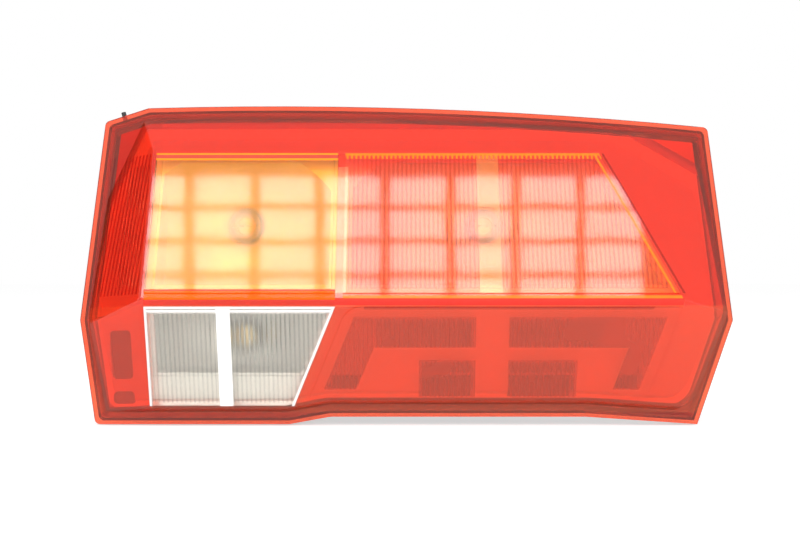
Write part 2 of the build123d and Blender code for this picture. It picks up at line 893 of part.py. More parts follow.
def strips(lines, width):
    """Upright and level strips along the lines, reaching half their width past each end."""
    with BuildSketch() as sketch:
        for (x_0, z_0), (x_1, z_1) in lines:
            with Locations(((x_0 + x_1) / 2, (z_0 + z_1) / 2)):
                Rectangle(abs(x_1 - x_0) + width, abs(z_1 - z_0) + width)
    return sketch.sketch


def feed_lines(pin, z, x):
    """The two legs of a feed, from its plug blade to the contact of its bulb."""
    return [((pin, pin_z), (pin, z)), ((pin, z), (x, z))]


track_lines = {name: feed_lines(*route) for name, route in feeds.items()}
track_lines["ground_track"] = ground_strips
track_pins = {name: route[0] for name, route in feeds.items()}
track_pins["ground_track"] = ground_pin

for name, lines in track_lines.items():
    with BuildPart() as track:
        with BuildSketch(carrier_rear):
            add(strips(lines, track_width))
        extrude(amount=track_thickness)
        with BuildSketch(carrier_rear):
            with Locations((track_pins[name], pin_z)):
                Rectangle(track_thickness, blade_width)
        extrude(amount=-blade_length)
        if name == "ground_track":
            with BuildSketch(carrier_rear):
                with Locations(*ground_blades):
                    Rectangle(ground_blade_width, ground_blade_thickness)
            extrude(amount=carrier_plate + ground_blade_length)
    finish(track.part, name)

with BuildPart() as contact_rivets:
    with BuildSketch(track_face):
        with Locations(*contacts):
            Circle(rivet_radius)
    extrude(amount=carrier_plate - track_thickness + bulb_stand)
finish(contact_rivets.part, "contact_rivets")

# Bulb carrier: plate with four bayonet sockets, ears, edge rib, grooves and plug socket
shroud_width = (pin_count - 1) * pin_pitch + 2 * shroud_margin
slot_width = 2 * (bayonet_radius + bulb_clearance)
slot_reach = 2 * (cap_radius + bayonet_reach + bulb_clearance)
with BuildPart() as bulb_carrier:
    with BuildSketch(carrier_rear):
        with Locations(carrier_middle):
            RectangleRounded(carrier_width, carrier_height, carrier_corner)
        with Locations(*ears):
            Circle(ear_radius)
    extrude(amount=carrier_plate)
    with BuildSketch(carrier_rear):
        with Locations(carrier_middle):
            RectangleRounded(carrier_width, carrier_height, carrier_corner)
            RectangleRounded(
                carrier_width - 2 * carrier_rib,
                carrier_height - 2 * carrier_rib,
                carrier_corner - carrier_rib,
                mode=Mode.SUBTRACT,
            )
    extrude(amount=-carrier_rib_height)
    with BuildSketch(carrier_front):
        with Locations(*ears):
            Circle(screw_boss_radius)
    extrude(amount=carrier_seal_height)
    with BuildSketch(carrier_front):
        with Locations(*sockets):
            Circle(socket_radius)
    extrude(amount=socket_length)
    with BuildSketch(carrier_front):
        with Locations(*sockets):
            Circle(cap_radius + bulb_clearance)
    extrude(amount=socket_length, mode=Mode.SUBTRACT)
    with BuildSketch(bulb_face.offset(bayonet_height - bayonet_radius)):
        with Locations(*sockets):
            Rectangle(slot_reach, slot_width)
    extrude(amount=socket_length, mode=Mode.SUBTRACT)
    with BuildSketch(carrier_rear):
        with Locations(*ground_blades):
            Rectangle(
                ground_blade_width + 2 * track_clearance,
                ground_blade_thickness + 2 * track_clearance,
            )
    extrude(amount=carrier_plate + ground_blade_length + track_clearance, mode=Mode.SUBTRACT)
    for lines in track_lines.values():
        with BuildSketch(carrier_rear):
            add(strips(lines, track_width + 2 * track_clearance))
        extrude(amount=track_thickness, mode=Mode.SUBTRACT)
    with BuildSketch(carrier_rear):
        with Locations(*contacts):
            Circle(rivet_radius + rivet_clearance)
    extrude(amount=carrier_plate, mode=Mode.SUBTRACT)
    with BuildSketch(carrier_rear):
        with Locations(*ears):
            Circle(screw_radius + screw_clearance)
    extrude(amount=carrier_plate + carrier_seal_height, mode=Mode.SUBTRACT)
    with BuildSketch(carrier_rear):
        with Locations((pin_middle_x, pin_z)):
            RectangleRounded(
                shroud_width + 2 * shroud_wall,
                shroud_height + 2 * shroud_wall,
                shroud_corner + shroud_wall,
            )
            RectangleRounded(shroud_width, shroud_height, shroud_corner, mode=Mode.SUBTRACT)
    extrude(amount=-shroud_length)
finish(bulb_carrier.part, "bulb_carrier")

with BuildPart() as carrier_seal:
    with BuildSketch(carrier_front):
        with Locations(carrier_middle):
            RectangleRounded(
                carrier_width - 2 * carrier_seal_edge,
                carrier_height - 2 * carrier_seal_edge,
                carrier_corner - carrier_seal_edge,
            )
            RectangleRounded(
                carrier_width - 2 * (carrier_seal_edge + carrier_seal_width),
                carrier_height - 2 * (carrier_seal_edge + carrier_seal_width),
                carrier_corner - carrier_seal_edge - carrier_seal_width,
                mode=Mode.SUBTRACT,
            )
    extrude(amount=carrier_seal_height)
finish(carrier_seal.part, "carrier_seal")

with BuildPart() as carrier_screws:
    with BuildSketch(carrier_rear):
        with Locations(*ears):
            Circle(screw_radius)
    extrude(amount=screw_length)
    with BuildSketch(carrier_rear):
        with Locations(*ears):
            Circle(screw_head_radius)
    extrude(amount=-screw_head)
    with BuildSketch(carrier_rear.offset(-screw_head)):
        with Locations(*ears):
            Rectangle(2 * screw_head_radius, screw_slot_width)
    extrude(amount=screw_slot_depth, mode=Mode.SUBTRACT)
finish(carrier_screws.part, "carrier_screws")


# Bulbs: brass bayonet cap and glass globe for each lamp, filaments together
def globe(x, z, thin, foot):
    """The solid of revolution inside the globe's surface, thinner by the stated amount."""
    neck = cap_radius - cap_wall - thin
    ball = globe_radius - thin
    middle = -cap_length - globe_centre
    side = ball * cos(radians(globe_shoulder))
    drop = ball * sin(radians(globe_shoulder))
    profile = Plane(origin=(x, bulb_face.origin.Y, z), x_dir=(1, 0, 0), z_dir=(0, 0, 1))
    with BuildPart() as solid:
        with BuildSketch(profile):
            with BuildLine():
                Polyline((0, foot), (neck, foot), (neck, -cap_length - globe_neck), (side, middle + drop))
                ThreePointArc((side, middle + drop), (ball, middle), (0, middle - ball))
                Line((0, middle - ball), (0, foot))
            make_face()
        revolve(axis=Axis((x, bulb_face.origin.Y, z), (0, 1, 0)))
    return solid.part


def bulb(name, x, z):
    """One bulb: its cap with two bayonet pins and its hollow globe, sunk into the cap."""
    pin_place = Plane(
        origin=(x, bulb_face.origin.Y - bayonet_height, z), x_dir=(0, 1, 0), z_dir=(1, 0, 0)
    )
    with BuildPart() as cap:
        with BuildSketch(bulb_face):
            with Locations((x, z)):
                Circle(cap_radius)
        extrude(amount=cap_length)
        with BuildSketch(pin_place):
            Circle(bayonet_radius)
        extrude(amount=cap_radius + bayonet_reach, both=True)
        with BuildSketch(bulb_face.offset(cap_floor)):
            with Locations((x, z)):
                Circle(cap_radius - cap_wall)
        extrude(amount=cap_length, mode=Mode.SUBTRACT)
    finish(cap.part, f"{name}_bulb_cap")
    with BuildPart() as glass:
        add(globe(x, z, 0, -cap_length + globe_sunk))
        add(globe(x, z, globe_wall, -cap_floor), mode=Mode.SUBTRACT)
    finish(glass.part, f"{name}_bulb_glass")


bulb("turn", *sockets[0])
bulb("stop", *sockets[1])
bulb("reverse", *sockets[2])
bulb("fog", *sockets[3])

coil_y = bulb_face.origin.Y - cap_length - globe_centre
with BuildPart() as bulb_filaments:
    for x, z in sockets:
        with BuildSketch(bulb_face.offset(cap_floor)):
            with Locations((x - filament_width / 2, z), (x + filament_width / 2, z)):
                Circle(filament_lead_radius)
        extrude(amount=cap_length + globe_centre - cap_floor)
        coil_start = (x - filament_width / 2, coil_y, z)
        with BuildSketch(Plane(origin=coil_start, x_dir=(0, 1, 0), z_dir=(1, 0, 0))):
            Circle(filament_radius)
        extrude(amount=filament_width)
finish(bulb_filaments.part, "bulb_filaments")
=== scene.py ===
import json
from math import cos, pi, radians, sin

import bmesh
import bpy
from mathutils import Matrix, Vector


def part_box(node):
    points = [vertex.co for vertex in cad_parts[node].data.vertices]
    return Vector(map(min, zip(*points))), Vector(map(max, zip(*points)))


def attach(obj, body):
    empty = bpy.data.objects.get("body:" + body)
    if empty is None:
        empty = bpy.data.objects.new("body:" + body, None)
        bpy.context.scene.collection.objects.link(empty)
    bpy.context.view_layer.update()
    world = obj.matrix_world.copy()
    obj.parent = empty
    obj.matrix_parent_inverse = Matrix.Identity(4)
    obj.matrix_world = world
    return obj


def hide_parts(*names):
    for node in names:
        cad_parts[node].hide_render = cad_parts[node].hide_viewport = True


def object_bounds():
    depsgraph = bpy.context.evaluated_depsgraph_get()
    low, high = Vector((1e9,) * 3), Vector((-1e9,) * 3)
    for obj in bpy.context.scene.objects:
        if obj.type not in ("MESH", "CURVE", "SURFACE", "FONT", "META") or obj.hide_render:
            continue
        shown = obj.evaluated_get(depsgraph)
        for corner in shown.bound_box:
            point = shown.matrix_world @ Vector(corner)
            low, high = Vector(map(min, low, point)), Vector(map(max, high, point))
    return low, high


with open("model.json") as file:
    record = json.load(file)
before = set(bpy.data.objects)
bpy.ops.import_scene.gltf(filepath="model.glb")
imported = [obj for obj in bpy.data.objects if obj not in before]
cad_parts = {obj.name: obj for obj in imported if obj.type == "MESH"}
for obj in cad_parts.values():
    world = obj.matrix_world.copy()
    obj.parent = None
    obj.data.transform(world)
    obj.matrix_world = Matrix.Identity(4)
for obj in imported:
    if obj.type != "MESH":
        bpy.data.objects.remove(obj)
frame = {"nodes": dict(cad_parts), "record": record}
cad_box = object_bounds()
nodes = frame["nodes"]
scene = bpy.context.scene
mm = 0.001
lamps = ("turn", "stop", "reverse", "fog")

# Places of the sockets of a Mix node that blend colours
mix_factor = 0
mix_first = 6
mix_second = 7
mix_result = 2


class Socket:
    """One output in a material's nodes, with arithmetic on it."""

    def __init__(self, tree, output=None):
        self.tree = tree
        self.output = output

    def node(self, kind, settings=None, inputs=None, output=0):
        """Add a node: its settings first, then the values or links of its inputs."""
        made = self.tree.nodes.new(kind)
        for name, value in (settings or {}).items():
            setattr(made, name, value)
        for name, value in (inputs or {}).items():
            if isinstance(value, Socket):
                self.tree.links.new(value.output, made.inputs[name])
            else:
                made.inputs[name].default_value = value
        return Socket(self.tree, made.outputs[output] if made.outputs else None)

    def math(self, operation, left, right):
        return self.node("ShaderNodeMath", {"operation": operation}, {0: left, 1: right})

    def __add__(self, other):
        return self.math("ADD", self, other)

    def __radd__(self, other):
        return self.math("ADD", other, self)

    def __sub__(self, other):
        return self.math("SUBTRACT", self, other)

    def __rsub__(self, other):
        return self.math("SUBTRACT", other, self)

    def __mul__(self, other):
        return self.math("MULTIPLY", self, other)

    def __rmul__(self, other):
        return self.math("MULTIPLY", other, self)


def new_finish(name):
    """An empty node material, and its Object coordinates to start from."""
    material = bpy.data.materials.new(name)
    material.use_nodes = True
    material.node_tree.nodes.clear()
    place = Socket(material.node_tree).node("ShaderNodeTexCoord", output="Object")
    return material, place


def cloud(place, size, detail=2.0):
    """Soft noise from 0 to 1, in lumps of about the stated size in metres."""
    inputs = {"Vector": place, "Scale": 1 / size, "Detail": detail}
    return place.node("ShaderNodeTexNoise", None, inputs)


def cells(place, size):
    """Distance to the middle of the nearest cell, for pores and grain."""
    return place.node("ShaderNodeTexVoronoi", None, {"Vector": place, "Scale": 1 / size})


def blend_colour(factor, first, second):
    """A colour between two others, each of them written or from other nodes."""
    ends = [end if isinstance(end, Socket) else (*end, 1) for end in (first, second)]
    inputs = {mix_factor: factor, mix_first: ends[0], mix_second: ends[1]}
    return factor.node("ShaderNodeMix", {"data_type": "RGBA"}, inputs, mix_result)


def over(colour, mask, paint):
    """A colour with another laid over it where the mask is 1."""
    return blend_colour(mask, colour, paint)


def roughness(pattern, spread, least):
    """Roughness that follows a pattern, from the least value up by the spread."""
    return pattern * spread + least


def relief(pattern, depth):
    """Bump of the stated depth in metres."""
    return pattern.node("ShaderNodeBump", None, {"Height": pattern, "Distance": depth}, "Normal")


def shader(place, **inputs):
    """One surface shader, with the names of its inputs written with underscores."""
    named = {name.replace("_", " "): value for name, value in inputs.items()}
    return place.node("ShaderNodeBsdfPrincipled", None, named)


def laid_on(place, share, under, cover):
    """Two surface shaders in one: the stated share of the second over the first."""
    return place.node("ShaderNodeMixShader", None, {0: share, 1: under, 2: cover})


def close(material, surface):
    """Join a shader to the output of its material."""
    surface.node("ShaderNodeOutputMaterial", None, {"Surface": surface})
    return material


def along(place, direction):
    """How far a point lies along a direction, in metres."""
    inputs = {0: place, 1: direction}
    return place.node("ShaderNodeVectorMath", {"operation": "DOT_PRODUCT"}, inputs, "Value")


def between(value, low, high):
    """1 where the value lies between the two limits, and 0 elsewhere."""
    return value.math("GREATER_THAN", value, low) * value.math("LESS_THAN", value, high)


def ramp(value, low, high, first, second):
    """A straight change between two levels, held beyond the two limits."""
    ends = {"Value": value, "From Min": low, "From Max": high, "To Min": first, "To Max": second}
    return value.node("ShaderNodeMapRange", None, ends)


def largest(*values):
    """The greatest of several values."""
    most = values[0]
    for value in values[1:]:
        most = value.math("MAXIMUM", most, value)
    return most


def rows(value, pitch):
    """A zigzag that rises from 0 to half the pitch and falls back once in each pitch."""
    return value.node("ShaderNodeMath", {"operation": "PINGPONG"}, {0: value, 1: pitch / 2})


# Lens in metres: the leaning rim plane, and the edges of its windows along and up that plane
rim_rake = radians(7.3)
rim_stand = 0.044
rim_up = (0, sin(rim_rake), cos(rim_rake))
rim_out = (0, -cos(rim_rake), sin(rim_rake))
lens_along = (1, 0, 0)
window_top = 0.073
window_foot = -0.0265
ridge_height = -0.031
lower_head = -0.0355
lower_foot = -0.104
window_left = -0.172
turn_right = -0.047
stop_left = -0.042
stop_right = 0.181
stop_lean = 0.467
reverse_lean = -0.44
stop_strip = (0.048, 0.063)
reverse_strip = (-0.125, -0.116)
flute_pitch = 0.003
side_rows = (-0.208, -0.176)
side_lean = -0.095
side_pitch = 0.0028
panel_head = (-0.028, 0.162)
past_the_lens = 1.0

# Fluted fields of the fog window in metres: top strip, slanting columns at both ends, and two panes
fog_lean = -0.34
fog_strip = (-0.061, -0.042)
fog_columns = (-0.0883, -0.061)
fog_left = (-0.0319, -0.0105)
fog_right = (0.1557, 0.1731)
fog_post = (0.0455, 0.0675)
fog_panes = (-0.0933, -0.0695)
pane_left = (0.008, 0.0455)
pane_right = (0.0675, 0.113)

# Rim outline in metres: its straight sides, the arch in its foot and the curve of its top
rim_left = [(-0.182, 0.109), (-0.212, 0.099), (-0.225, -0.041), (-0.212, -0.112)]
rim_right = [(0.198, -0.112), (0.225, -0.041), (0.212, 0.095)]
rim_foot = -0.112
arch_height = 0.005
arch_rise = (-0.080, -0.052)
arch_fall = (0.122, 0.198)
crown_middle = (-0.0911, -2.8838)
crown_radius = 2.9942
tongue_band = (0.0050, 0.0076)
flange_band = (0.0034, 0.0120)
flange_face = 0.0034

# Lines and bands of the red lens, among them lines of painted glow and painted shade, in metres from the
# edge that each lies beside
stop_fade = (0.004, 0.022)
divider_lap = 0.002
divider_drop = 0.010
side_gap = 0.004
tooth_length = 0.0042
top_line = 0.0018
foot_line = (0.001, 0.003)
right_line = (0.0042, 0.0026)
right_crease = (0.0022, 0.0036)
head_crease = 0.0010
lower_lap = 0.001

# Shares of one pitch left plain between side rows and between teeth, and the slope of the flutes' sides
side_plain = 0.3
tooth_plain = 0.28
flank_slope = (0.36, 0.48)

# Red lens: colours seen in the plastic, with painted shade on flute sides and side rows, then those of its
# matt body, with painted glow on edges and painted shade in creases
red_body = ((0.99, 0.17, 0.07), (0.97, 0.14, 0.055))
stop_warm = ((1.0, 0.24, 0.09), (1.0, 0.42, 0.09))
flank_shade_red = (0.92, 0.13, 0.045)
strip_orange = (1.0, 0.50, 0.18)
divider_pink = (1.0, 0.55, 0.32)
side_row_shade = (0.60, 0.03, 0.012)
upper_matt = (0.85, 0.04, 0.025)
lower_matt = (0.90, 0.15, 0.06)
block_matt = (0.92, 0.08, 0.03)
field_matt = (0.58, 0.09, 0.05)
corner_matt = (0.60, 0.02, 0.012)
edge_glow_orange = (1.0, 0.24, 0.02)
crease_shade_red = (0.30, 0.02, 0.015)

# Share of matt body on the red lens, what its parts add or take away, and the shares of the lines of painted
# glow, of the creases with painted shade and of the ridge, and of corners
matt_share = 0.13
lower_adds = 0.06
fields_add = 0.2
tongue_adds = 0.16
window_takes = 0.10
flange_takes = 0.06
edge_glow_share = 0.7
crease_share = 0.45
corner_share = 0.6

# Amber lens: colours, with painted glow in its orange bar and top lines, then its bar and lines in metres
# from the foot and top of the window, and their share
amber_body = ((1.0, 0.57, 0.12), (0.99, 0.48, 0.07))
bar_glow_orange = (1.0, 0.11, 0.002)
foot_red = (0.80, 0.05, 0.02)
band_red = (0.60, 0.06, 0.05)
head_glow_orange = (1.0, 0.30, 0.02)
bar_drop = 0.002
bar_rise = 0.0012
red_line_rise = 0.0024
head_lap = 0.002
head_drops = (0.0012, 0.0038, 0.0052)
amber_line_share = 0.8

# Clear lens: colours, with painted shade on the flute sides, its pale edges of painted glow in metres from
# the edges of the window, and the share of the frosted strip
clear_body = ((0.97, 0.95, 0.89), (0.93, 0.91, 0.84))
clear_flank_shade = (0.74, 0.73, 0.68)
frost_and_glow_white = ((0.95, 0.95, 0.94), (0.90, 0.90, 0.89))
edge_lap = 0.01
left_edge_width = 0.0016
head_line_width = 0.0014
second_line = (0.0036, 0.0022)
slant_edge_width = 0.0018
frost_share = 0.85

# Patterns in the lens plastics, in metres: patches of tint, and the grain of matt and frosted faces
tint_patch = 0.06
warm_patch = 0.045
lens_grain = 0.0006


def rim_height(place):
    """How far up the rim plane a point lies."""
    return along(place, rim_up) + rim_stand * sin(rim_rake)


def rim_rise(place):
    """How far out from the rim plane a point lies."""
    return along(place, rim_out) - rim_stand * cos(rim_rake)


def rim_inset(run, height):
    """How far inside the rim outline a point lies, from its places along and up the rim plane."""
    rise = ramp(run, *arch_rise, 0.0, arch_height)
    fall = ramp(run, *arch_fall, arch_height, 0.0)
    least = height - rim_foot - run.math("MINIMUM", rise, fall)
    for corners in (rim_left, rim_right):
        for (run1, height1), (run2, height2) in zip(corners, corners[1:]):
            inward = Vector((height1 - height2, run2 - run1)).normalized()
            depth = (run - run1) * inward.x + (height - height1) * inward.y
            least = run.math("MINIMUM", least, depth)
    beside = run - crown_middle[0]
    above = height - crown_middle[1]
    reach = run.math("POWER", beside * beside + above * above, 0.5)
    return run.math("MINIMUM", least, crown_radius - reach)


def acrylic(place, colour, share, cloudy):
    """Lens plastic: a faint haze over a stated cloudiness, and slightly wavy moulded faces."""
    haze = cloud(place, size=0.012)
    wave = cloud(place, size=0.03, detail=1.0)
    return shader(
        place,
        Base_Color=colour,
        Roughness=roughness(haze, spread=0.04, least=cloudy),
        Normal=relief(wave, depth=0.00004),
        Transmission_Weight=share,
        IOR=1.49,
    )


def matt(place, colour):
    """Lens plastic seen as a matt colour, without shine of its own: its body colour, and the painted glow
    and painted shade of its lines.
    """
    grain = cloud(place, size=lens_grain)
    dull = roughness(grain, spread=0.1, least=0.5)
    return shader(place, Base_Color=colour, Roughness=dull, Specular_IOR_Level=0.0)


def flute_flanks(place):
    """1 on the sloping sides of the flutes, which turn away to the left and right, and 0 elsewhere."""
    facing = place.node("ShaderNodeNewGeometry", output="True Normal")
    turned = along(facing, lens_along)
    slope = place.node("ShaderNodeMath", {"operation": "ABSOLUTE"}, {0: turned})
    return between(slope, *flank_slope) * between(along(place, lens_along), window_left, stop_right)


def upper_windows(height):
    """1 between the foot and the top of the upper windows, and 0 elsewhere."""
    return between(height, window_foot, window_top)


def stop_across(run, height):
    """Place along the lens, measured on the slant of the stop window's right edge."""
    return run + stop_lean * (height - ridge_height)


def stop_width(run, height):
    """1 between the left edge of the stop window and its slanting right edge, and 0 elsewhere."""
    right_of_left = run.math("GREATER_THAN", run, stop_left)
    return right_of_left * run.math("LESS_THAN", stop_across(run, height), stop_right)


def stop_edge_glow(run, height):
    """1 on the lines and teeth of painted glow along the edges of the stop window, and 0 elsewhere."""
    width = stop_width(run, height)
    tooth = between(rows(run, flute_pitch), flute_pitch * tooth_plain, flute_pitch)
    teeth = tooth * between(height, window_top - tooth_length, window_top)
    top = width * largest(between(height, window_top - top_line, window_top), teeth)
    foot = width * between(height, ridge_height + foot_line[0], ridge_height + foot_line[1])
    across = stop_across(run, height)
    right = between(across, stop_right - right_line[0], stop_right - right_line[1])
    return largest(top, foot, right * upper_windows(height))


def painted_crease_shade(run, height):
    """1 on the creases beside the stop window and at the head of the lower panel, where shade is painted,
    and 0 elsewhere.
    """
    across = stop_across(run, height)
    right = between(across, stop_right + right_crease[0], stop_right + right_crease[1])
    head = between(height, lower_head - head_crease, lower_head) * between(run, *panel_head)
    return largest(right * upper_windows(height), head)


def fog_fields(run, height):
    """1 on the fluted fields of the fog window, and 0 on the plain bars between them."""
    left = run + reverse_lean * (height - lower_head)
    right = run + fog_lean * (height - lower_head)
    ends = between(left, fog_left[0], past_the_lens) * between(right, -past_the_lens, fog_right[1])
    strip = ends * between(height, *fog_strip) * (1 - between(run, *fog_post))
    slanting = largest(between(left, *fog_left), between(right, *fog_right))
    upright = largest(between(run, *pane_left), between(run, *pane_right))
    return largest(strip, between(height, *fog_columns) * slanting, between(height, *fog_panes) * upright)


def red_depth(place, run, height):
    """Colour seen in the red plastic: paler in the stop window, with painted shade on the sloping sides of
    the flutes and in lines over the side rows.
    """
    window = stop_width(run, height) * upper_windows(height)
    fade = ramp(height, window_top - stop_fade[0], window_top - stop_fade[1], 0.0, 1.0)
    strip = between(run, *stop_strip) * upper_windows(height)
    divider_rows = between(height, window_foot, window_top - divider_drop)
    divider = between(run, turn_right, stop_left + divider_lap) * divider_rows
    side = between(run, *side_rows) * between(height, ridge_height + side_gap, window_top)
    side_row = rows(run + side_lean * height, side_pitch)
    side_shade_lines = side * between(side_row, side_pitch * side_plain, side_pitch)
    body = blend_colour(cloud(place, size=tint_patch), *red_body)
    warm = blend_colour(cloud(place, size=warm_patch), *stop_warm)
    colour = over(body, window * fade, warm)
    # Painted shade on the sloping sides of the flutes
    colour = over(colour, flute_flanks(place), flank_shade_red)
    colour = over(colour, strip, strip_orange)
    colour = over(colour, divider, divider_pink)
    # Painted shade in thin lines over the side rows, as the shade of flutes
    return over(colour, side_shade_lines, side_row_shade)


def red_lens():
    """Red lens plastic, with a matt body laid over it on its panels, ridge and corners, and on its lines of
    painted glow and painted shade.
    """
    material, place = new_finish("red_acrylic")
    run = along(place, lens_along)
    height = rim_height(place)
    inset = rim_inset(run, height)
    edge = stop_edge_glow(run, height)
    crease_shade = painted_crease_shade(run, height)
    fields = fog_fields(run, height)
    lower = between(height, lower_foot, lower_head + lower_lap)
    left_end = run.math("LESS_THAN", run, window_left)
    on_flange_face = run.math("LESS_THAN", rim_rise(place), flange_face)
    corner = between(inset, flange_band[1], past_the_lens) * on_flange_face
    colour = over(upper_matt, lower, lower_matt)
    colour = over(colour, lower * left_end, block_matt)
    colour = over(colour, fields, field_matt)
    colour = over(colour, corner * left_end, corner_matt)
    # Painted glow on the lines and teeth along the edges of the stop window
    colour = over(colour, edge, edge_glow_orange)
    # Painted shade in the creases beside the stop window and at the head of the lower panel
    cover = matt(place, over(colour, crease_shade, crease_shade_red))

    window = stop_width(run, height) * upper_windows(height)
    ridge_rows = between(height, lower_head, ridge_height + foot_line[0])
    ridge = ridge_rows * between(run, window_left, stop_right)
    panels = lower * lower_adds + fields * fields_add + matt_share - window * window_takes
    tongue = between(inset, *tongue_band) * tongue_adds
    flanged = panels + tongue - between(inset, *flange_band) * flange_takes
    # Share of the painted shade in the creases, and of matt body on the ridge
    creased = largest(crease_shade * crease_share, ridge * crease_share)
    share = largest(flanged, edge * edge_glow_share, creased, corner * corner_share)
    under = acrylic(place, red_depth(place, run, height), share=0.94, cloudy=0.03)
    return close(material, laid_on(place, share, under, cover))


def amber_lens():
    """Amber lens plastic, with an orange bar of painted glow and a red line under the window, and edge lines
    of painted glow at its top with a darker red band between them.
    """
    material, place = new_finish("amber_acrylic")
    height = rim_height(place)
    upper_end, band_end, lower_end = [window_top - drop for drop in head_drops]
    bar = between(height, ridge_height - bar_drop, window_foot + bar_rise)
    red_line = between(height, window_foot + bar_rise, window_foot + red_line_rise)
    upper_line = between(height, upper_end, window_top + head_lap)
    head_band = between(height, band_end, upper_end)
    head_line = largest(upper_line, between(height, lower_end, band_end))
    # Painted glow in the orange bar under the window and in the orange lines at its top
    colour = over(bar_glow_orange, red_line, foot_red)
    colour = over(colour, head_band, band_red)
    cover = matt(place, over(colour, head_line, head_glow_orange))
    share = largest(bar, red_line, head_line, head_band) * amber_line_share
    body = blend_colour(cloud(place, size=tint_patch), *amber_body)
    under = acrylic(place, body, share=0.90, cloudy=0.035)
    return close(material, laid_on(place, share, under, cover))


def clear_lens():
    """Clear lens plastic with painted shade on the sloping sides of its flutes, a frosted strip between them
    and pale edges of painted glow.
    """
    material, place = new_finish("clear_acrylic")
    run = along(place, lens_along)
    height = rim_height(place)
    grain = cloud(place, size=lens_grain)
    frost_and_glow = shader(
        place,
        Base_Color=blend_colour(grain, *frost_and_glow_white),
        Roughness=roughness(grain, spread=0.1, least=0.4),
        Normal=relief(grain, depth=0.00003),
    )
    left_edge = between(run, window_left - edge_lap, window_left + left_edge_width)
    head_line = between(height, lower_head - head_line_width, lower_head)
    under_line = between(height, lower_head - second_line[0], lower_head - second_line[1])
    slant = run + reverse_lean * (height - lower_head)
    right_edge = between(slant, turn_right - slant_edge_width, turn_right + edge_lap)
    # Pale edges of the window, painted as glow
    edges = largest(left_edge, head_line, under_line, right_edge)
    share = largest(between(run, *reverse_strip) * frost_share, edges * edge_glow_share)
    plain = blend_colour(cloud(place, size=tint_patch), *clear_body)
    # Painted shade on the sloping sides of the flutes
    under = acrylic(place, over(plain, flute_flanks(place), clear_flank_shade), share=0.95, cloudy=0.20)
    return close(material, laid_on(place, share, under, frost_and_glow))


def metal_film():
    """Bright metal film on the bezel and cups, with the orange-peel of the moulding under it."""
    material, place = new_finish("bright_metal_film")
    peel = cloud(place, size=0.008)
    dust = cloud(place, size=0.025, detail=4.0)
    surface = shader(
        place,
        Base_Color=blend_colour(dust, first=(0.98, 0.98, 0.97), second=(0.93, 0.93, 0.92)),
        Roughness=roughness(dust, spread=0.15, least=0.25),
        Normal=relief(peel, depth=0.0001),
        Metallic=0.3,
    )
    return close(material, surface)


def grained(name, dark, pale, least_rough, grain, depth):
    """Moulded plastic or rubber with a fine grain."""
    material, place = new_finish(name)
    scuff = cloud(place, size=0.03, detail=5.0)
    surface = shader(
        place,
        Base_Color=blend_colour(scuff, dark, pale),
        Roughness=roughness(scuff, spread=0.2, least=least_rough),
        Normal=relief(cells(place, grain), depth),
    )
    return close(material, surface)


# Plated metal: width of a dull patch and depth of a streak, in streak widths, and how streaks are drawn out
patch_width = 8
streak_depth = 0.02
drawn_out = (1.0, 0.15, 1.0)


def plated(name, bright, dull, least_rough, streak):
    """Plated or stamped metal with fine drawn streaks and dull patches."""
    material, place = new_finish(name)
    patch = cloud(place, size=streak * patch_width, detail=4.0)
    drawn = place.node("ShaderNodeMapping", None, {"Vector": place, "Scale": drawn_out})
    surface = shader(
        place,
        Base_Color=blend_colour(patch, bright, dull),
        Roughness=roughness(patch, spread=0.2, least=least_rough),
        Normal=relief(cloud(drawn, size=streak), depth=streak * streak_depth),
        Metallic=1.0,
    )
    return close(material, surface)


def blown_glass():
    """Thin blown glass of the bulbs."""
    material, place = new_finish("bulb_glass")
    drawn = cloud(place, size=0.01)
    surface = shader(
        place,
        Base_Color=blend_colour(drawn, first=(0.99, 0.99, 0.98), second=(0.95, 0.96, 0.96)),
        Roughness=roughness(drawn, spread=0.01, least=0.0),
        Normal=relief(drawn, depth=0.00005),
        Transmission_Weight=1.0,
        IOR=1.012,
    )
    return close(material, surface)


red = red_lens()
amber = amber_lens()
clear = clear_lens()
film = metal_film()
glass = blown_glass()
black = grained(
    "black_plastic",
    dark=(0.016, 0.016, 0.017),
    pale=(0.030, 0.030, 0.031),
    least_rough=0.38,
    grain=0.0012,
    depth=0.00005,
)
grey = grained(
    "grey_plastic",
    dark=(0.42, 0.42, 0.41),
    pale=(0.50, 0.50, 0.49),
    least_rough=0.42,
    grain=0.001,
    depth=0.00004,
)
rubber = grained(
    "seal_rubber",
    dark=(0.020, 0.020, 0.020),
    pale=(0.042, 0.041, 0.040),
    least_rough=0.62,
    grain=0.0007,
    depth=0.00004,
)
foam = grained(
    "stud_foam",
    dark=(0.035, 0.035, 0.036),
    pale=(0.075, 0.075, 0.077),
    least_rough=0.80,
    grain=0.0015,
    depth=0.0005,
)
zinc = plated(
    "zinc_plate", bright=(0.80, 0.79, 0.76), dull=(0.62, 0.60, 0.55), least_rough=0.24, streak=0.0012
)
brass = plated(
    "tinned_brass", bright=(0.86, 0.68, 0.38), dull=(0.70, 0.52, 0.27), least_rough=0.22, streak=0.001
)
tungsten = plated(
    "tungsten_wire", bright=(0.42, 0.41, 0.40), dull=(0.30, 0.29, 0.29), least_rough=0.30, streak=0.0005
)

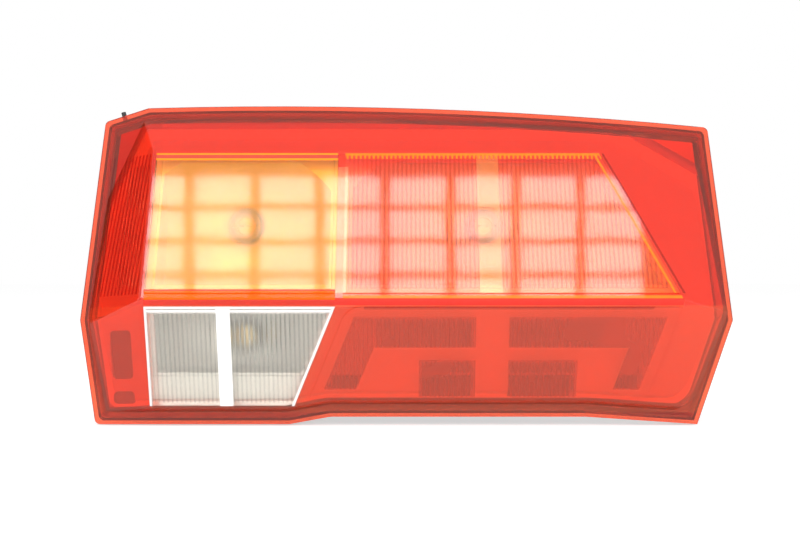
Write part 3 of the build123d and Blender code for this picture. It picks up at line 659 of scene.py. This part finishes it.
finishes = {
    "lens_red": red,
    "lens_amber": amber,
    "lens_clear": clear,
    "inner_bezel": film,
    "housing": black,
    "bulb_carrier": grey,
    "lens_seal": rubber,
    "carrier_seal": rubber,
    "vent_cap": rubber,
    "stud_seals": foam,
    "mounting_studs": zinc,
    "carrier_screws": zinc,
    "contact_rivets": brass,
    "ground_track": brass,
    "tail_track": brass,
    "bulb_filaments": tungsten,
}
for lamp in lamps:
    finishes[f"{lamp}_reflector"] = film
    finishes[f"{lamp}_track"] = brass
    finishes[f"{lamp}_bulb_cap"] = brass
    finishes[f"{lamp}_bulb_glass"] = glass

for name, node in nodes.items():
    node.data.materials.clear()
    node.data.materials.append(finishes[name])


def new_piece(name, bm, material):
    """A mesh object at the origin, from a finished bmesh."""
    bmesh.ops.recalc_face_normals(bm, faces=bm.faces)
    mesh = bpy.data.meshes.new(name)
    bm.to_mesh(mesh)
    bm.free()
    mesh.materials.append(material)
    piece = bpy.data.objects.new(name, mesh)
    scene.collection.objects.link(piece)
    return piece


def close_ends(bm):
    """Fill the open loops at the ends of a tube."""
    bmesh.ops.holes_fill(bm, edges=[edge for edge in bm.edges if edge.is_boundary])


# Studs: hexagon head, shoulder and a real screw thread with a turned-down tip
studs_low, studs_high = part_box("mounting_studs")
stud_mount = next(mount for mount in frame["record"]["mounts"] if mount["name"] == "mounting_studs")
stud_radius = stud_mount["dims"]["stud_r_mm"] * mm
stud_half_x = stud_mount["dims"]["spacing_x_mm"] * mm / 2
stud_half_z = stud_mount["dims"]["spacing_y_mm"] * mm / 2
head_radius = studs_high[0] - stud_half_x
head_height = 3.0 * mm
head_edge = 0.4 * mm
head_sides = 6
shoulder_radius = 4.0 * mm
shoulder_edge = 0.3 * mm
shoulder_sides = 32
thread_pitch = 1.0 * mm
thread_depth = 0.55 * mm
thread_start = -0.5 * mm
thread_steps = 24
spare_turns = 2
tip_chamfer = 0.8 * mm
along_y = Matrix.Rotation(radians(-90), 4, "X")
merge_distance = 0.001 * mm


def turned_bar(bm, sides, radius, low, high, edge):
    """A bar along Y between two places, with its end edges rounded off."""
    middle = Matrix.Translation((0, (low + high) / 2, 0))
    bar = bmesh.ops.create_cone(
        bm,
        cap_ends=True,
        segments=sides,
        radius1=radius,
        radius2=radius,
        depth=high - low,
        matrix=middle @ along_y @ Matrix.Rotation(pi / 2, 4, "Z"),
    )
    touching = {line for vert in bar["verts"] for line in vert.link_edges}
    rims = [line for line in touching if abs(line.verts[0].co.y - line.verts[1].co.y) < edge]
    bmesh.ops.bevel(bm, geom=rims, offset=edge, affect="EDGES", segments=2, profile=0.5, material=-1)


def screw_thread():
    """A threaded rod along Y: one turn of the thread, spun up past the tip and cut off square."""
    bm = bmesh.new()
    turns = int((studs_high[1] - thread_start) / thread_pitch) + spare_turns
    below = thread_start - thread_pitch
    root_radius = stud_radius - thread_depth
    places = [(root_radius, 0.0), (stud_radius, 0.5), (root_radius, 1.0)]
    corners = [bm.verts.new((radius, below + share * thread_pitch, 0)) for radius, share in places]
    flanks = [bm.edges.new(corners[:2]), bm.edges.new(corners[1:])]
    bmesh.ops.spin(
        bm,
        geom=corners + flanks,
        cent=(0, 0, 0),
        axis=(0, 1, 0),
        dvec=(0, thread_pitch / thread_steps, 0),
        angle=2 * pi * turns,
        steps=thread_steps * turns,
    )
    bmesh.ops.remove_doubles(bm, verts=bm.verts, dist=merge_distance)
    for level, way in ((thread_start, -1), (studs_high[1], 1)):
        bmesh.ops.bisect_plane(
            bm,
            geom=bm.verts[:] + bm.edges[:] + bm.faces[:],
            dist=merge_distance,
            plane_co=(0, level, 0),
            plane_no=(0, way, 0),
            clear_outer=True,
        )
    for vert in bm.verts:
        limit = stud_radius - max(0.0, vert.co.y - (studs_high[1] - tip_chamfer))
        reach = Vector((vert.co.x, vert.co.z)).length
        if reach > limit:
            vert.co.x *= limit / reach
            vert.co.z *= limit / reach
    close_ends(bm)
    return bm


stud = screw_thread()
turned_bar(stud, shoulder_sides, shoulder_radius, studs_low[1] + head_height, 0.0, shoulder_edge)
turned_bar(stud, head_sides, head_radius, studs_low[1], studs_low[1] + head_height, head_edge)
stud_mesh = bpy.data.meshes.new("one_stud")
stud.to_mesh(stud_mesh)
stud.free()
all_studs = bmesh.new()
for x in (-stud_half_x, stud_half_x):
    for z in (-stud_half_z, stud_half_z):
        made = len(all_studs.verts)
        all_studs.from_mesh(stud_mesh)
        all_studs.verts.ensure_lookup_table()
        bmesh.ops.translate(all_studs, verts=all_studs.verts[made:], vec=(x, 0, z))
bpy.data.meshes.remove(stud_mesh)
threaded_studs = new_piece("threaded_studs", all_studs, zinc)
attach(threaded_studs, "root")
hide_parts("mounting_studs")

# Filaments: a coil of fine wire between two leads in each bulb
filaments_low, filaments_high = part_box("bulb_filaments")
coil_radius = 0.5 * mm
coil_half = 3.0 * mm
coil_turns = 10
coil_steps = 16
wire_radius = 0.13 * mm
wire_sides = 8
lead_radius = 0.3 * mm
lead_sides = 12
coil_y = filaments_low[1] + coil_radius
lead_middle = (coil_y + filaments_high[1]) / 2


def coiled_wire(bm, x, z):
    """One coil along X through the middle of a bulb, closed at both ends."""
    start = Matrix.Translation((x - coil_half, coil_y - coil_radius + wire_radius, z))
    wire = bmesh.ops.create_circle(bm, cap_ends=False, segments=wire_sides, radius=wire_radius, matrix=start)
    ring = wire["verts"] + list({line for vert in wire["verts"] for line in vert.link_edges})
    bmesh.ops.spin(
        bm,
        geom=ring,
        cent=(x, coil_y, z),
        axis=(1, 0, 0),
        dvec=(2 * coil_half / (coil_turns * coil_steps), 0, 0),
        angle=2 * pi * coil_turns,
        steps=coil_turns * coil_steps,
    )
    close_ends(bm)


def lead_wire(bm, x, z):
    """One straight lead along Y, from the coil back towards the cap of the bulb."""
    bmesh.ops.create_cone(
        bm,
        cap_ends=True,
        segments=lead_sides,
        radius1=lead_radius,
        radius2=lead_radius,
        depth=filaments_high[1] - coil_y,
        matrix=Matrix.Translation((x, lead_middle, z)) @ along_y,
    )


coils = bmesh.new()
for lamp in lamps:
    globe_low, globe_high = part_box(f"{lamp}_bulb_glass")
    globe_x = (globe_low[0] + globe_high[0]) / 2
    globe_z = (globe_low[2] + globe_high[2]) / 2
    coiled_wire(coils, globe_x, globe_z)
    for side in (-coil_half, coil_half):
        lead_wire(coils, globe_x + side, globe_z)
filament_coils = new_piece("filament_coils", coils, tungsten)
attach(filament_coils, "root")
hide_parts("bulb_filaments")

# Floor and background: sizes in metres, and how bright they are
floor_half = 6.0
floor_gap = 0.5 * mm
floor_glow = 0.5
white = (1, 1, 1, 1)
unseen_strength = 0.6


def seen_directly(start):
    """1 for rays from the camera, off a glossy face or through the lens, which meet a white background."""
    kinds = ("Is Camera Ray", "Is Glossy Ray", "Is Transmission Ray")
    return largest(*[start.node("ShaderNodeLightPath", output=kind) for kind in kinds])


def white_floor():
    """Pale floor that looks white and keeps a soft shadow."""
    material, place = new_finish("pale_floor")
    grain = cloud(place, size=0.2)
    pale = shader(
        place,
        Base_Color=blend_colour(grain, first=(0.80, 0.80, 0.80), second=(0.82, 0.82, 0.82)),
        Roughness=roughness(grain, spread=0.1, least=0.8),
        Specular_IOR_Level=0.0,
    )
    strength = seen_directly(place) * floor_glow
    glow = place.node("ShaderNodeEmission", None, {"Color": white, "Strength": strength})
    return close(material, place.node("ShaderNodeAddShader", None, {0: pale, 1: glow}))


floor_bm = bmesh.new()
bmesh.ops.create_grid(floor_bm, x_segments=1, y_segments=1, size=floor_half)
bmesh.ops.translate(floor_bm, verts=floor_bm.verts, vec=(0, 0, cad_box[0][2] - floor_gap))
floor = new_piece("floor", floor_bm, white_floor())

world = bpy.data.worlds.new("studio")
world.use_nodes = True
world.node_tree.nodes.clear()
sky = Socket(world.node_tree)
sky_strength = seen_directly(sky) * (1 - unseen_strength) + unseen_strength
backdrop = sky.node("ShaderNodeBackground", None, {"Color": white, "Strength": sky_strength})
sky.node("ShaderNodeOutputWorld", None, {"Surface": backdrop})
scene.world = world


def softbox(name, place, target, width, height, power):
    """A soft rectangular light that points at the target, in metres and watts."""
    light = bpy.data.lights.new(name, "AREA")
    light.shape = "RECTANGLE"
    light.size = width
    light.size_y = height
    light.energy = power
    holder = bpy.data.objects.new(name, light)
    holder.location = place
    holder.rotation_euler = (Vector(target) - Vector(place)).to_track_quat("-Z", "Y").to_euler()
    scene.collection.objects.link(holder)
    return holder


# Overhead bank of small panels, seen as bright panes in the upper face of the lens
bank_middle = Vector((-0.031, -0.906, 0.893))
bank_target = Vector((-0.031, -0.058, 0.039))
bank_turn = (bank_target - bank_middle).to_track_quat("-Z", "Y")
bank_across = bank_turn @ Vector((1, 0, 0))
bank_up = bank_turn @ Vector((0, 1, 0))
bank_columns = 8
bank_rows = 4
column_pitch = 0.1145
row_pitch = 0.0593
panel_width = 0.098
panel_height = 0.048
panel_power = 0.13
for column in range(bank_columns):
    for row in range(bank_rows):
        sideways = (column - (bank_columns - 1) / 2) * column_pitch
        upwards = (row - (bank_rows - 1) / 2) * row_pitch
        shift = bank_across * sideways + bank_up * upwards
        softbox(
            f"bank_{column}_{row}",
            place=bank_middle + shift,
            target=bank_target + shift,
            width=panel_width,
            height=panel_height,
            power=panel_power,
        )

# Soft fills: the two in front are kept out of reflections, so that they don't grey the flange
lamp_middle = (0, -0.05, 0)
front_fill = softbox(
    "front_softbox", place=(0.0, -1.8, 0.9), target=lamp_middle, width=3.0, height=2.0, power=22.5
)
low_fill = softbox(
    "low_softbox", place=(0.0, -1.0, -0.02), target=lamp_middle, width=1.6, height=0.16, power=4.2
)
for fill in (front_fill, low_fill):
    fill.visible_glossy = False
softbox("left_softbox", place=(-1.2, -0.7, 0.3), target=lamp_middle, width=0.6, height=0.9, power=2.0)
softbox("right_softbox", place=(1.2, -0.5, 0.4), target=lamp_middle, width=0.6, height=0.9, power=1.5)

# Dark card at the left, seen only in reflections: half its side and its place, in metres
card_half = 0.4
card_place = (-0.8, 0.05, 0.3)


def card_black():
    """Matt black of the card that shades the left bevel of the lens."""
    material, place = new_finish("card_black")
    fibre = cloud(place, size=0.01)
    card_colour = blend_colour(fibre, first=(0.01, 0.01, 0.01), second=(0.02, 0.02, 0.02))
    return close(material, shader(place, Base_Color=card_colour, Roughness=0.9))


card_bm = bmesh.new()
bmesh.ops.create_grid(card_bm, x_segments=1, y_segments=1, size=card_half)
bmesh.ops.rotate(card_bm, verts=card_bm.verts, matrix=Matrix.Rotation(radians(90), 3, "Y"))
bmesh.ops.translate(card_bm, verts=card_bm.verts, vec=card_place)
card = new_piece("dark_card", card_bm, card_black())
card.visible_camera = False
card.visible_shadow = False
card.visible_diffuse = False
card.visible_transmission = False

# Camera, level and square to the lamp: its place in metres
camera_place = (-0.0045, -0.818, -0.0033)
camera = bpy.data.cameras.new("camera")
camera.lens = 50.0
camera.sensor_width = 36.0
camera_holder = bpy.data.objects.new("camera", camera)
camera_holder.location = camera_place
camera_holder.rotation_euler = (radians(90), 0, 0)
scene.collection.objects.link(camera_holder)
scene.camera = camera_holder

scene.view_settings.view_transform = "Standard"
